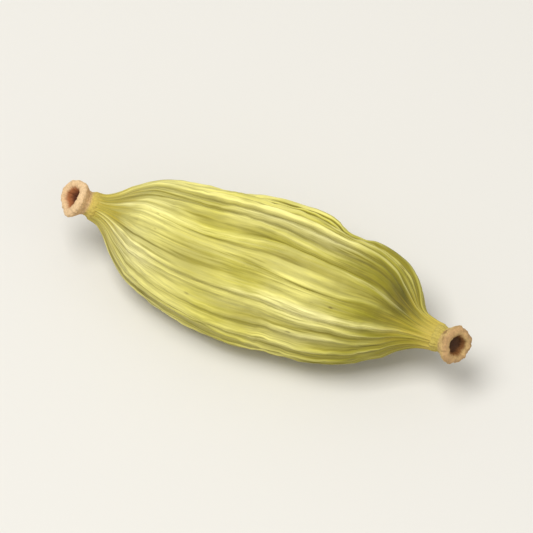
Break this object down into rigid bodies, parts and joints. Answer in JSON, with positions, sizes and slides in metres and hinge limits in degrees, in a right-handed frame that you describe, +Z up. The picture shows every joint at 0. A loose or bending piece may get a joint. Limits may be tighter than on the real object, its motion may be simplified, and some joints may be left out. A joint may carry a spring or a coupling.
{
  "type": "cardamom pod",
  "caption": "Dried green cardamom pod: a ribbed, bluntly angular husk, slim at its necks, with a flared dried flower tube and a cupped stub of stalk.",
  "frame": {"origin": "centre of the small flat spot the pod rests on, under its weight", "axes": "+X along the pod from the dried flower tube to the stalk, +Y to the back, +Z up from the resting spot"},
  "size_m": [0.0223, 0.008, 0.0069],
  "materials": {
    "husk": "dry, papery green husk",
    "flower_tube": "dried flower tissue, dull pinkish tan",
    "stalk_stub": "dried stalk, dull tan"
  },
  "bodies": {
    "root": {"husk": "husk", "flower_tube": "flower_tube", "stalk_stub": "stalk_stub"}
  },
  "joints": []
}
